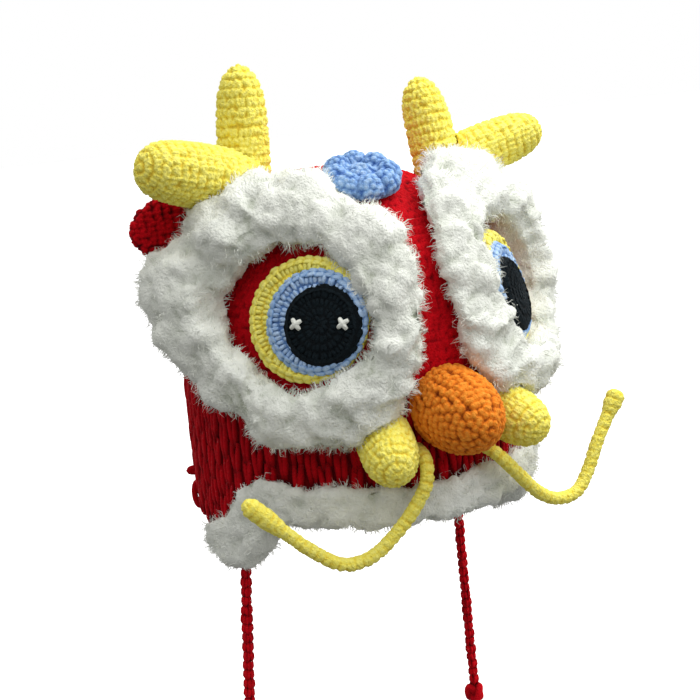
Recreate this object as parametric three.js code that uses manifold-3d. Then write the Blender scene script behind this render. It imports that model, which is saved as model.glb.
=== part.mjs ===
// Knitted dragon hat, in millimetres, +Z up, the face looks along -Y.
// The origin is the centre of the head opening, in the plane of the rim.
// The wearer's right side is -X and the wearer's left side is +X.
import * as THREE from "three";
import { mergeVertices } from "three/addons/utils/BufferGeometryUtils.js";
import Module from "manifold-3d";

const wasm = await Module();
wasm.setup();

const SIDES = [
  { name: "right", sign: -1 },
  { name: "left", sign: 1 },
];
const UP = new THREE.Vector3(0, 0, 1);
const DEGREE = Math.PI / 180;

// Sewn pieces sit this far from what holds them.
const SEAM = 0.3;

// Steps of a search by halving, and the multipliers of the repeatable scatter.
const HALVINGS = 40;
const SCATTER = { first: 12.9898, second: 78.233, spread: 43758.5453 };

// Cap: half width at each height; sections are ovals, deeper than wide.
const CROWN_ROWS = [
  { height: -44, half_width: 86 },
  { height: 0, half_width: 87.5 },
  { height: 40, half_width: 88 },
  { height: 80, half_width: 87 },
  { height: 112, half_width: 79 },
  { height: 136, half_width: 64 },
  { height: 153, half_width: 43 },
  { height: 161, half_width: 22 },
  { height: 163, half_width: 0 },
];
const DEPTH_RATIO = 1.16;
const WALL = 6;
const CROWN_COLUMNS = 64;
const CROWN_LEVELS = 9;
// Columns crowd towards the flaps by this share.
const COLUMN_CROWDING = 0.3;
// The point the eye patches are measured from.
const CROWN_HEART = new THREE.Vector3(0, 0, 80);

// Gathers where the knitting is drawn together on top.
const GATHER = { count: 10, depth: 0.07, from_height: 132 };

// Knitted edge: its height round the hat, and the ear flaps by azimuth in degrees from the front.
const RIM_EDGE = 8.5;
const FLAP = { front: 56, tip_front: 80, tip_back: 92, back: 158, drop: 32 };

// Plush band along the rim; it laps over the knitting, widest on the front of the flaps.
const RIM_FUR = {
  height: 15, thickness: 17, end_azimuth: 97, stations: 36, sides: 8, lock: 2.6, sag: 0.4,
  end_share: 0.6, end_growth: 6, rim_lap: 4, flap_lap: 15, lap_spread: 9,
};

// Eye: where it faces, and its three discs, each moved towards the nose and down.
const EYE = { azimuth: { right: 38.3, left: 36 }, elevation: 10.5, radius_of_patch: 96 };
const EYE_DISCS = [
  { node: "eye_yellow", radius: 30.8, back: -12, front: 4, inward: 0.5, down: 0 },
  { node: "eye_blue", radius: 25.8, back: 3, front: 7.2, inward: 6, down: 1.5 },
  { node: "eye_pupil", radius: 20.2, back: 6.2, front: 10.4, inward: 10, down: 3.5 },
];
const DISC = { sides: 16, dome: 1.5, soft_edge: 3 };

// Eye fur round the eye: bearing 0 is away from the nose, 90 is up; distances along the cap.
// The two are sewn on by hand and differ a little.
const EYE_FUR_ROWS = {
  right: [
    { bearing: 0, inner: 42, outer: 88, rise: 33 },
    { bearing: 13, inner: 44, outer: 102, rise: 37 },
    { bearing: 23, inner: 43, outer: 101, rise: 35 },
    { bearing: 31, inner: 41, outer: 90, rise: 25 },
    { bearing: 42, inner: 40, outer: 88, rise: 32 },
    { bearing: 62, inner: 39, outer: 86, rise: 29 },
    { bearing: 90, inner: 36, outer: 78, rise: 22 },
    { bearing: 120, inner: 31, outer: 68, rise: 20 },
    { bearing: 150, inner: 28, outer: 56, rise: 20 },
    { bearing: 180, inner: 27, outer: 52, rise: 19 },
    { bearing: 210, inner: 30, outer: 56, rise: 20 },
    { bearing: 240, inner: 32, outer: 60, rise: 22 },
    { bearing: 270, inner: 33, outer: 60, rise: 22 },
    { bearing: 300, inner: 34, outer: 60, rise: 22 },
    { bearing: 330, inner: 37, outer: 64, rise: 25 },
  ],
  left: [
    { bearing: 0, inner: 42, outer: 88, rise: 34 },
    { bearing: 13, inner: 44, outer: 98, rise: 35 },
    { bearing: 24, inner: 42, outer: 94, rise: 35 },
    { bearing: 38, inner: 40, outer: 90, rise: 33 },
    { bearing: 62, inner: 39, outer: 86, rise: 29 },
    { bearing: 90, inner: 36, outer: 78, rise: 22 },
    { bearing: 120, inner: 30, outer: 68, rise: 18 },
    { bearing: 150, inner: 27, outer: 58, rise: 15 },
    { bearing: 180, inner: 26, outer: 55, rise: 14.5 },
    { bearing: 210, inner: 29, outer: 58, rise: 16 },
    { bearing: 240, inner: 31, outer: 57, rise: 18 },
    { bearing: 270, inner: 33, outer: 53, rise: 19 },
    { bearing: 300, inner: 34, outer: 52, rise: 20 },
    { bearing: 330, inner: 37, outer: 58, rise: 24 },
  ],
};
// The section is a rounded block; locks stand out or sink in by a share of their length.
const EYE_FUR = {
  stations: 46, sides: 10, squareness: 0.7, clearance: 0.5,
  lock: 3.4, lock_low: -0.6, lock_high: 1, lock_sideways: 0.7, lock_from: 0.3,
};

// Stuffed forms turned about their own axis, from the sewn end to the tip.
const BEAM_ROWS = [
  { along: 0, radius: 11.5 }, { along: 0.3, radius: 13.3 }, { along: 0.6, radius: 13.3 },
  { along: 0.82, radius: 12 }, { along: 0.95, radius: 7.5 }, { along: 1, radius: 0 },
];
const TINE_ROWS = [
  { along: 0, radius: 13.5 }, { along: 0.4, radius: 14.3 }, { along: 0.7, radius: 13.5 },
  { along: 0.88, radius: 11 }, { along: 0.97, radius: 6 }, { along: 1, radius: 0 },
];
// The two horns are sewn on by hand and differ a little.
const HORNS = {
  right: {
    beam: { girth: 1.04, root: new THREE.Vector3(-54, -2, 128), tip: new THREE.Vector3(-49, 3, 221) },
    tine: { girth: 1.2, root: new THREE.Vector3(-54, -4, 160), tip: new THREE.Vector3(-117, -19, 176) },
  },
  left: {
    beam: { girth: 1, root: new THREE.Vector3(64, -14, 124), tip: new THREE.Vector3(56.5, 3, 206) },
    tine: { girth: 1, root: new THREE.Vector3(60, -7, 156), tip: new THREE.Vector3(122, -18, 173) },
  },
};
const HORN_SIDES = 12;
const TUSKS = {
  right: { root: new THREE.Vector3(-29, -84, 42), tip: new THREE.Vector3(-43, -126, 26) },
  left: { root: new THREE.Vector3(30, -84, 46), tip: new THREE.Vector3(42.5, -124.5, 31) },
};
const TUSK = {
  sides: 12,
  rows: [
    { along: 0, radius: 13 }, { along: 0.35, radius: 14.5 }, { along: 0.65, radius: 14 },
    { along: 0.85, radius: 11 }, { along: 0.96, radius: 6 }, { along: 1, radius: 0 },
  ],
};
const NOSE = {
  root: new THREE.Vector3(0, -84, 53), tip: new THREE.Vector3(0, -142, 43), sides: 16,
  rows: [
    { along: 0, radius: 18 }, { along: 0.3, radius: 20.5 }, { along: 0.55, radius: 20.5 },
    { along: 0.78, radius: 16.5 }, { along: 0.94, radius: 8.5 }, { along: 1, radius: 0 },
  ],
};
const TURNED_STEPS = 8;

// Ears: tongues that stand out sideways behind the eye fur.
const EAR = { root: new THREE.Vector3(60, 18, 141), tip: new THREE.Vector3(113, 16, 139), sides: 12 };
const EAR_ROWS = [
  { along: 0, half_height: 15, half_thickness: 5 },
  { along: 0.3, half_height: 19, half_thickness: 5.5 },
  { along: 0.65, half_height: 18.5, half_thickness: 5 },
  { along: 0.88, half_height: 12.5, half_thickness: 4 },
  { along: 0.98, half_height: 5, half_thickness: 2.5 },
];

// Puff flower on the forehead; lobe is the share by which petals stand out.
const ROSETTE = { azimuth: -11, height: 155.3, petals: 8, columns_per_petal: 3 };
const ROSETTE_ROWS = [
  { height: -20, radius: 15, lobe: 0 },
  { height: 0, radius: 15, lobe: 0 },
  { height: 1, radius: 18.5, lobe: 0.08 },
  { height: 6, radius: 20.3, lobe: 0.11 },
  { height: 11, radius: 17.5, lobe: 0.13 },
  { height: 12.5, radius: 13, lobe: 0.18 },
  { height: 9.5, radius: 6.5, lobe: 0.2 },
];

// Whiskers: routes bent by hand, from beside the nose to the thick tip.
const WHISKER = { sides: 8, stations: 18, radius: 3.3, tip_radius: 4.8, tip_share: 0.14, end_share: 0.6 };
const WHISKER_ROUTES = {
  right: [[-16, -94, 30], [-20, -112, 28], [-23, -118, 19], [-28, -117, 9], [-38, -114, -4], [-52, -111, -15],
    [-66, -107, -17], [-80, -104, -8], [-95, -100, 6], [-110, -96, 21]],
  left: [[15, -94, 28], [19, -112, 24], [30, -114, 12], [44, -111, -2], [58, -108, -10], [72, -106, -10],
    [81, -104, -2], [90, -102, 13], [100, -100, 27], [107, -99, 37]],
};

// Ties hang from the flap edges and end in a plain knot.
const TIE = { length: 152, radius: 3, sides: 8, steps: 6, out: 8, back: 5 };
const TIE_AZIMUTH = { right: 76, left: 108 };
const KNOT_ROWS = [
  { along: 0, radius: 0 }, { along: 0, radius: 3.2 }, { along: 2.5, radius: 5.8 },
  { along: 6, radius: 6.6 }, { along: 9.5, radius: 5.6 }, { along: 12, radius: 3.4 },
  { along: 18, radius: 3.6 }, { along: 19, radius: 0 },
];
const KNOT_SIDES = 8;

const yarn = (colour) => new THREE.MeshStandardMaterial({ color: colour, roughness: 0.95, metalness: 0 });
const MATERIALS = {
  red: yarn(0xb0101c),
  yellow: yarn(0xf0d850),
  blue: yarn(0x6ea0e0),
  black: yarn(0x101418),
  orange: yarn(0xe07d19),
  plush: yarn(0xe8ebe4),
};

// Smooth value of a column between table rows that go once round by bearing.
function aroundTable(rows, bearing, column) {
  const count = rows.length;
  const index = rows.findLastIndex((row) => row.bearing <= bearing);
  const value = (step) => rows[(index + step + count) % count][column];
  const start = rows[index].bearing;
  const end = index + 1 < count ? rows[index + 1].bearing : 360;
  const share = (bearing - start) / (end - start);
  const rest = 1 - share;
  const slope_in = (value(1) - value(-1)) / 2;
  const slope_out = (value(2) - value(0)) / 2;
  const from_start = (1 + 2 * share) * rest ** 2 * value(0) + share * rest ** 2 * slope_in;
  const from_end = share ** 2 * (3 - 2 * share) * value(1) - share ** 2 * rest * slope_out;
  return from_start + from_end;
}

// Where a rising function of a share from 0 to 1 reaches a value.
function shareWhere(rising, value) {
  let low = 0;
  let high = 1;
  for (let i = 0; i < HALVINGS; i++) {
    const middle = (low + high) / 2;
    if (rising(middle) < value) low = middle;
    else high = middle;
  }
  return (low + high) / 2;
}

const smooth = (from, to, at) => THREE.MathUtils.smoothstep(at, from, to);

// A repeatable value from 0 to 1 for two whole numbers.
function scatter(a, b) {
  const value = Math.sin(a * SCATTER.first + b * SCATTER.second) * SCATTER.spread;
  return value - Math.floor(value);
}

// A closed skin through rings of equal count; open ends get a fan to their pole.
function loft(rings, { loop = false, first_pole = null, last_pole = null } = {}) {
  const count = rings[0].length;
  const points = rings.flat();
  const triangles = [];
  const spans = loop ? rings.length : rings.length - 1;
  for (let i = 0; i < spans; i++) {
    const a = i * count;
    const b = ((i + 1) % rings.length) * count;
    for (let j = 0; j < count; j++) {
      const k = (j + 1) % count;
      triangles.push(a + j, b + j, b + k, a + j, b + k, a + k);
    }
  }
  const middle = (ring) => ring.reduce((sum, p) => sum.add(p), new THREE.Vector3()).divideScalar(count);
  if (!loop) {
    const first = points.push(first_pole ?? middle(rings[0])) - 1;
    const last = points.push(last_pole ?? middle(rings[rings.length - 1])) - 1;
    const base = (rings.length - 1) * count;
    for (let j = 0; j < count; j++) {
      const k = (j + 1) % count;
      triangles.push(first, j, k);
      triangles.push(last, base + k, base + j);
    }
  }
  const geometry = new THREE.BufferGeometry().setFromPoints(points);
  geometry.setIndex(triangles);
  return facingOut(geometry);
}

// The same geometry with its faces turned outwards.
function facingOut(geometry) {
  const bare = new THREE.BufferGeometry();
  bare.setAttribute("position", geometry.getAttribute("position"));
  bare.setIndex(geometry.index);
  const merged = mergeVertices(bare, 1e-4);
  const place = merged.getAttribute("position");
  const corners = merged.index.array;
  const [a, b, c] = [new THREE.Vector3(), new THREE.Vector3(), new THREE.Vector3()];
  let volume = 0;
  for (let i = 0; i < corners.length; i += 3) {
    a.fromBufferAttribute(place, corners[i]);
    b.fromBufferAttribute(place, corners[i + 1]);
    c.fromBufferAttribute(place, corners[i + 2]);
    volume += a.dot(b.cross(c));
  }
  if (volume < 0) {
    for (let i = 0; i < corners.length; i += 3) {
      [corners[i], corners[i + 1]] = [corners[i + 1], corners[i]];
    }
  }
  return merged;
}

function toSolid(geometry) {
  const vertProperties = new Float32Array(geometry.getAttribute("position").array);
  const triVerts = new Uint32Array(geometry.index.array);
  return new wasm.Manifold(new wasm.Mesh({ numProp: 3, vertProperties, triVerts }));
}

function toGeometry(solid) {
  const mesh = solid.getMesh();
  const geometry = new THREE.BufferGeometry();
  geometry.setAttribute("position", new THREE.BufferAttribute(new Float32Array(mesh.vertProperties), 3));
  geometry.setIndex(new THREE.BufferAttribute(new Uint32Array(mesh.triVerts), 1));
  return geometry;
}

// Cap surface
const crownPlaces = CROWN_ROWS.map((row) => new THREE.Vector2(row.half_width, row.height));
const crownCurve = new THREE.SplineCurve(crownPlaces);

const levelAtHeight = (height) => shareWhere((level) => crownCurve.getPoint(level).y, height);

// Point and outward direction on the cap, for an azimuth from the front and a level from 0 to 1.
function crownAt(azimuth, level, lift = 0) {
  const { x: width, y: height } = crownCurve.getPoint(level);
  const slope = crownCurve.getTangent(level);
  const gather = GATHER.depth * smooth(GATHER.from_height, CROWN_ROWS[CROWN_ROWS.length - 2].height, height);
  const reach = width * (1 + gather * Math.cos(GATHER.count * azimuth));
  const sideways = Math.sin(azimuth);
  const forwards = DEPTH_RATIO * Math.cos(azimuth);
  const point = new THREE.Vector3(reach * sideways, -reach * forwards, height);
  const around = new THREE.Vector3(Math.cos(azimuth), DEPTH_RATIO * sideways, 0);
  const along = new THREE.Vector3(slope.x * sideways, -slope.x * forwards, slope.y);
  const normal = around.cross(along).normalize();
  return { point: point.addScaledVector(normal, lift), normal };
}

// Where a ray from the heart of the cap meets its surface.
function crownToward(direction) {
  const azimuth = Math.atan2(direction.x, -direction.y / DEPTH_RATIO);
  const steepness = direction.z / Math.hypot(direction.x, direction.y);
  const rise = (level) => {
    const { point } = crownAt(azimuth, level);
    return (point.z - CROWN_HEART.z) / Math.hypot(point.x, point.y);
  };
  return crownAt(azimuth, shareWhere(rise, steepness));
}

// Height of the knitted edge at an azimuth.
function edgeHeight(azimuth) {
  const turn = Math.abs(THREE.MathUtils.euclideanModulo(azimuth / DEGREE + 180, 360) - 180);
  const drop = smooth(FLAP.front, FLAP.tip_front, turn) * (1 - smooth(FLAP.tip_back, FLAP.back, turn));
  return RIM_EDGE - FLAP.drop * drop;
}

function crownRing(share, lift, lower = 0) {
  const ring = [];
  for (let i = 0; i < CROWN_COLUMNS; i++) {
    const even = (i / CROWN_COLUMNS) * 2 * Math.PI;
    const azimuth = even + (COLUMN_CROWDING / 2) * Math.sin(2 * even);
    const bottom = levelAtHeight(edgeHeight(azimuth) - lower);
    ring.push(crownAt(azimuth, THREE.MathUtils.lerp(bottom, 1, share), lift).point);
  }
  return ring;
}

// Rings of the cap from the top down to the knitted edge.
function crownRings(lift, lower = 0) {
  const rings = [];
  for (let i = CROWN_LEVELS - 1; i >= 0; i--) rings.push(crownRing(i / CROWN_LEVELS, lift, lower));
  return rings;
}

function crownTop(lift) {
  return new THREE.Vector3(0, 0, CROWN_ROWS[CROWN_ROWS.length - 1].height + lift);
}

function crownShell(grow = 0) {
  return loft([...crownRings(grow, grow), ...crownRings(-WALL - grow, grow).reverse()], {
    first_pole: crownTop(grow),
    last_pole: crownTop(-WALL - grow),
  });
}

// The filled outer form of the cap, grown by the seam, that trims whatever is sewn on.
function crownForm() {
  return toSolid(loft(crownRings(SEAM), { first_pole: crownTop(SEAM) }));
}
const CROWN_FORM = crownForm();
const CROWN_ROOM = toSolid(crownShell(SEAM));

function mirrored(point, sign) {
  return new THREE.Vector3(point.x * sign, point.y, point.z);
}

// A form turned about the line from its root to its tip, grown when it cuts a clearance.
function turned({ root, tip, rows, sides, girth = 1 }, grow = 0) {
  const length = root.distanceTo(tip);
  const points = rows.map((row) => new THREE.Vector2(row.radius * girth, row.along * length));
  const curve = new THREE.SplineCurve(points);
  const outline = [new THREE.Vector2(0, -grow)];
  for (let i = 0; i < TURNED_STEPS; i++) {
    const point = curve.getPoint(i / TURNED_STEPS);
    outline.push(new THREE.Vector2(point.x + grow, i ? point.y : -grow));
  }
  outline.push(new THREE.Vector2(0, length + grow));
  const geometry = new THREE.LatheGeometry(outline, sides);
  const aim = new THREE.Quaternion().setFromUnitVectors(
    new THREE.Vector3(0, 1, 0), tip.clone().sub(root).normalize());
  geometry.applyQuaternion(aim).translate(root.x, root.y, root.z);
  return toSolid(facingOut(geometry));
}

function earSolid(sign, grow = 0) {
  const root = mirrored(EAR.root, sign);
  const tip = mirrored(EAR.tip, sign);
  const out = tip.clone().sub(root);
  const length = out.length();
  out.normalize();
  const across = new THREE.Vector3().crossVectors(UP, out).normalize();
  const high = new THREE.Vector3().crossVectors(out, across);
  const rings = EAR_ROWS.map((row) => {
    const ring = [];
    for (let i = 0; i < EAR.sides; i++) {
      const angle = (i / EAR.sides) * 2 * Math.PI;
      ring.push(root.clone()
        .addScaledVector(out, row.along * length + (row.along ? grow : -grow))
        .addScaledVector(high, (row.half_height + grow) * Math.cos(angle))
        .addScaledVector(across, (row.half_thickness + grow) * Math.sin(angle)));
    }
    return ring;
  });
  return toSolid(loft(rings, { last_pole: tip.clone().addScaledVector(out, grow) }));
}

// Puff flower: a bun with a lobe for each petal and a dip in the middle.
function rosetteSolid(grow = 0) {
  const { point, normal } = crownAt(ROSETTE.azimuth * DEGREE, levelAtHeight(ROSETTE.height));
  const across = new THREE.Vector3().crossVectors(UP, normal).normalize();
  const along = new THREE.Vector3().crossVectors(normal, across);
  const count = ROSETTE.petals * ROSETTE.columns_per_petal;
  const rings = ROSETTE_ROWS.map((row) => {
    const ring = [];
    for (let i = 0; i < count; i++) {
      const angle = (i / count) * 2 * Math.PI;
      const reach = (row.radius + grow) * (1 + row.lobe * Math.cos(ROSETTE.petals * angle));
      ring.push(point.clone()
        .addScaledVector(normal, row.height + grow)
        .addScaledVector(across, reach * Math.cos(angle))
        .addScaledVector(along, reach * Math.sin(angle)));
    }
    return ring;
  });
  return toSolid(loft(rings));
}

// Eye patch: a chart on the cap, out is away from the nose and up is up the hat.
function eyeChart({ name, sign }) {
  const azimuth = EYE.azimuth[name] * DEGREE * sign;
  const tilt = EYE.elevation * DEGREE;
  const centre = new THREE.Vector3(
    Math.sin(azimuth) * Math.cos(tilt), -Math.cos(azimuth) * Math.cos(tilt), Math.sin(tilt));
  const out = new THREE.Vector3(Math.cos(azimuth), Math.sin(azimuth), 0).multiplyScalar(sign);
  const up = UP.clone().addScaledVector(centre, -centre.z).normalize();
  return (bearing, distance) => {
    const angle = distance / EYE.radius_of_patch;
    const sideways = out.clone().multiplyScalar(Math.cos(bearing)).addScaledVector(up, Math.sin(bearing));
    const direction = centre.clone().multiplyScalar(Math.cos(angle));
    return crownToward(direction.addScaledVector(sideways, Math.sin(angle)));
  };
}

function eyeFurSolid(side) {
  const chart = eyeChart(side);
  const rows = EYE_FUR_ROWS[side.name];
  const rings = [];
  for (let i = 0; i < EYE_FUR.stations; i++) {
    const bearing = (i / EYE_FUR.stations) * 360;
    const inner = aroundTable(rows, bearing, "inner");
    const outer = aroundTable(rows, bearing, "outer");
    const rise = aroundTable(rows, bearing, "rise");
    const ring = [];
    for (let j = 0; j < EYE_FUR.sides; j++) {
      const angle = (j / EYE_FUR.sides) * 2 * Math.PI;
      const spread = Math.cos(angle);
      const steep = Math.sin(angle);
      const lift = (1 + Math.sign(steep) * Math.abs(steep) ** EYE_FUR.squareness) / 2;
      const length = EYE_FUR.lock * THREE.MathUtils.lerp(EYE_FUR.lock_low, EYE_FUR.lock_high, scatter(i, j));
      const lock = lift > EYE_FUR.lock_from ? length : 0;
      const distance = (inner + outer) / 2 + ((outer - inner) / 2 + lock * EYE_FUR.lock_sideways) * spread;
      const { point, normal } = chart(bearing * DEGREE, distance);
      const height = EYE_FUR.clearance + rise * lift + lock * Math.max(0, steep);
      ring.push(point.addScaledVector(normal, height));
    }
    rings.push(ring);
  }
  return toSolid(loft(rings, { loop: true }));
}

// A holder stands on the cap with its z axis along the outward direction and y up the hat.
function holder(point, normal) {
  const across = new THREE.Vector3().crossVectors(UP, normal).normalize();
  const up = new THREE.Vector3().crossVectors(normal, across);
  const group = new THREE.Group();
  new THREE.Matrix4().makeBasis(across, up, normal).setPosition(point)
    .decompose(group.position, group.quaternion, group.scale);
  group.updateMatrixWorld(true);
  return group;
}

// A rounded disc from back to front along z, moved towards the nose and down.
function discSolid({ radius, back, front, inward, down }, sign, grow = 0) {
  const soft = Math.min(DISC.soft_edge, (front - Math.max(back, 0)) / 2);
  const top = front + grow;
  const outline = [
    new THREE.Vector2(0, back - grow),
    new THREE.Vector2(radius - soft / 2 + grow, back - grow),
    new THREE.Vector2(radius + grow, Math.max(back, front - 2 * soft) + soft / 2),
    new THREE.Vector2(radius + grow - soft / 3, top - soft / 2),
    new THREE.Vector2(radius + grow - soft, top),
    new THREE.Vector2(radius / 2, top + DISC.dome * 0.75),
    new THREE.Vector2(0, top + DISC.dome),
  ];
  const disc = new THREE.LatheGeometry(outline, DISC.sides).rotateX(Math.PI / 2);
  return toSolid(facingOut(disc.translate(-sign * inward, -down, 0)));
}

// Plush band along the knitted edge, from flap tip to flap tip round the front.
function rimFurSolid() {
  const end = RIM_FUR.end_azimuth * DEGREE;
  const azimuthAt = (share) => THREE.MathUtils.lerp(-end, end, share);
  const edge = (share) => {
    const azimuth = azimuthAt(share);
    return crownAt(azimuth, levelAtHeight(edgeHeight(azimuth)), -WALL / 2);
  };
  const rings = [];
  const step = 0.5 / RIM_FUR.stations;
  for (let i = 0; i <= RIM_FUR.stations; i++) {
    const share = i / RIM_FUR.stations;
    const { point, normal } = edge(share);
    const along = edge(share + step).point.sub(edge(share - step).point).normalize();
    const down = new THREE.Vector3().crossVectors(normal, along).normalize();
    if (down.z > 0) down.negate();
    const taper = Math.min(1, RIM_FUR.end_share + RIM_FUR.end_growth * Math.min(share, 1 - share));
    const turn = Math.abs(azimuthAt(share)) / DEGREE;
    const past_front = smooth(FLAP.front - RIM_FUR.lap_spread, FLAP.front + RIM_FUR.lap_spread, turn);
    const on_flap = past_front * (1 - smooth(FLAP.tip_front, RIM_FUR.end_azimuth, turn));
    const lap = THREE.MathUtils.lerp(RIM_FUR.rim_lap, RIM_FUR.flap_lap, on_flap) * taper;
    const ring = [];
    for (let j = 0; j < RIM_FUR.sides; j++) {
      const angle = ((j + 0.5) / RIM_FUR.sides) * 2 * Math.PI;
      const [spread, steep] = [Math.cos(angle), Math.sin(angle)];
      const lock = RIM_FUR.lock * scatter(i, j);
      const inside = steep > 0.5 ? SEAM + RIM_FUR.sag : (RIM_FUR.height / 2) * (1 - steep) * taper + lock;
      const laps = spread > 0 && steep > 0;
      const depth = laps ? -lap * steep - lock : inside;
      const thick = (RIM_FUR.thickness / 2) * spread * taper + Math.sign(spread) * lock;
      ring.push(point.clone().addScaledVector(down, depth).addScaledVector(normal, thick));
    }
    rings.push(ring);
  }
  return toSolid(loft(rings)).subtract(CROWN_ROOM);
}

// Whisker: a round cord that swells at its tip.
function whiskerGeometry(route) {
  const curve = new THREE.CatmullRomCurve3(route.map((place) => new THREE.Vector3(...place)));
  const frames = curve.computeFrenetFrames(WHISKER.stations);
  const rings = [];
  for (let i = 0; i <= WHISKER.stations; i++) {
    const share = i / WHISKER.stations;
    const swell = smooth(1 - 2 * WHISKER.tip_share, 1 - WHISKER.tip_share / 2, share);
    const close = i === WHISKER.stations ? WHISKER.end_share : 1;
    const radius = THREE.MathUtils.lerp(WHISKER.radius, WHISKER.tip_radius, swell) * close;
    const ring = [];
    for (let j = 0; j < WHISKER.sides; j++) {
      const angle = (j / WHISKER.sides) * 2 * Math.PI;
      ring.push(curve.getPointAt(share)
        .addScaledVector(frames.normals[i], radius * Math.cos(angle))
        .addScaledVector(frames.binormals[i], radius * Math.sin(angle)));
    }
    rings.push(ring);
  }
  return loft(rings);
}

// Tie: from just below the knitted flap edge, hanging a little outwards.
function tiePath({ name, sign }) {
  const azimuth = TIE_AZIMUTH[name] * DEGREE * sign;
  const { point } = crownAt(azimuth, levelAtHeight(edgeHeight(azimuth)), -WALL / 2);
  const hang = new THREE.Vector3(sign * TIE.out, TIE.back, -TIE.length);
  return new THREE.LineCurve3(point, point.clone().add(hang));
}

function tieGeometry(side, grow = 0) {
  const section = new THREE.Shape();
  for (let i = 0; i < TIE.sides; i++) {
    const angle = (i / TIE.sides) * 2 * Math.PI;
    const [x, y] = [(TIE.radius + grow) * Math.cos(angle), (TIE.radius + grow) * Math.sin(angle)];
    if (i) section.lineTo(x, y);
    else section.moveTo(x, y);
  }
  const tube = new THREE.ExtrudeGeometry(section, { extrudePath: tiePath(side), steps: TIE.steps });
  return facingOut(tube);
}

function knotGeometry() {
  const outline = KNOT_ROWS.map((row) => new THREE.Vector2(row.radius, -row.along));
  return facingOut(new THREE.LatheGeometry(outline, KNOT_SIDES).rotateX(Math.PI / 2));
}

// Assembly
const hat = new THREE.Group();
hat.name = "dragon_hat";

function addPiece(parent, name, geometry, material) {
  const mesh = new THREE.Mesh(geometry, material);
  mesh.name = name;
  parent.add(mesh);
  return mesh;
}

addPiece(hat, "crown", crownShell(), MATERIALS.red);
addPiece(hat, "rosette", toGeometry(rosetteSolid().subtract(CROWN_FORM)), MATERIALS.blue);
addPiece(hat, "nose", toGeometry(turned(NOSE).subtract(CROWN_FORM)), MATERIALS.orange);

let rimFur = rimFurSolid();
for (const side of SIDES) {
  const { name, sign } = side;
  const beamForm = { ...HORNS[name].beam, rows: BEAM_ROWS, sides: HORN_SIDES };
  const tineForm = { ...HORNS[name].tine, rows: TINE_ROWS, sides: HORN_SIDES };
  const tuskForm = { ...TUSK, ...TUSKS[name] };
  const beamRoom = turned(beamForm, SEAM);
  const ear = earSolid(sign).subtract(CROWN_FORM);
  const site = eyeChart(side)(0, 0);
  const eye = holder(site.point, site.normal);
  let fur = eyeFurSolid(side);
  const neighbours = [beamRoom, turned(tineForm, SEAM), turned(tuskForm, SEAM), turned(NOSE, SEAM),
    earSolid(sign, SEAM), rosetteSolid(SEAM)];
  for (const disc of EYE_DISCS) {
    neighbours.push(discSolid(disc, sign, SEAM).transform(eye.matrixWorld.elements));
  }
  for (const neighbour of neighbours) fur = fur.subtract(neighbour);
  addPiece(hat, `horn_beam_${name}`, toGeometry(turned(beamForm).subtract(CROWN_FORM)), MATERIALS.yellow);
  addPiece(hat, `horn_tine_${name}`, toGeometry(turned(tineForm).subtract(beamRoom)), MATERIALS.yellow);
  addPiece(hat, `tusk_${name}`, toGeometry(turned(tuskForm).subtract(CROWN_FORM)), MATERIALS.yellow);
  addPiece(hat, `ear_${name}`, toGeometry(ear), MATERIALS.red);
  addPiece(hat, `eye_fur_${name}`, toGeometry(fur), MATERIALS.plush);
  const whisker = toSolid(whiskerGeometry(WHISKER_ROUTES[name])).subtract(CROWN_FORM);
  addPiece(hat, `whisker_${name}`, toGeometry(whisker), MATERIALS.yellow);

  eye.name = `eye_${name}`;
  hat.add(eye);
  const colours = { eye_yellow: MATERIALS.yellow, eye_blue: MATERIALS.blue, eye_pupil: MATERIALS.black };
  let below = CROWN_FORM.transform(eye.matrixWorld.clone().invert().elements);
  for (const disc of EYE_DISCS) {
    const seated = discSolid(disc, sign).subtract(below);
    addPiece(eye, `${disc.node}_${name}`, toGeometry(seated), colours[disc.node]);
    below = discSolid(disc, sign, SEAM);
  }

  addPiece(hat, `tie_${name}`, toGeometry(toSolid(tieGeometry(side)).subtract(CROWN_ROOM)), MATERIALS.red);
  rimFur = rimFur.subtract(toSolid(tieGeometry(side, SEAM)));
  const knot = addPiece(hat, `tie_knot_${name}`, knotGeometry(), MATERIALS.red);
  knot.position.copy(tiePath(side).getPoint(1));
  knot.position.z -= SEAM;
}
addPiece(hat, "rim_fur", toGeometry(rimFur), MATERIALS.plush);

export default hat;
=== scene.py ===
import math
from collections import namedtuple
from types import SimpleNamespace as Sizes

import bpy
import numpy as np
from numpy.linalg import norm
from mathutils import Matrix, Vector, noise
from mathutils.bvhtree import BVHTree
from mathutils.kdtree import KDTree


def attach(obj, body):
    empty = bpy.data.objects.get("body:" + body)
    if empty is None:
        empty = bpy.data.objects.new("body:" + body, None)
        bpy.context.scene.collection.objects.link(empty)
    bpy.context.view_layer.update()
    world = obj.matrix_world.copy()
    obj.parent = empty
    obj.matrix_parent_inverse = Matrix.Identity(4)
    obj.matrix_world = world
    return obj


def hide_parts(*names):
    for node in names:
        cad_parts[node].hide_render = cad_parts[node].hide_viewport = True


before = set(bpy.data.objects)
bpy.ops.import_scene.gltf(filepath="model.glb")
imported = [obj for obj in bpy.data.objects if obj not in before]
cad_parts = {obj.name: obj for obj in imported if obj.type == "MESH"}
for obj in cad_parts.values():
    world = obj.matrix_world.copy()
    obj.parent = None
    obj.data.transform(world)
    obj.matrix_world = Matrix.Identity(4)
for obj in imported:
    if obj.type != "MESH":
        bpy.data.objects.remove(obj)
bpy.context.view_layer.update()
scene = bpy.context.scene
random = np.random.default_rng(seed=11)
gauss = random.standard_normal

MM = 0.001
TINY = 1e-9
UP = np.array((0.0, 0.0, 1.0))
SIDEWAYS = np.array((1.0, 0.0, 0.0))
STEEP = 0.3
SIDES = {"right": -1, "left": 1}

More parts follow.
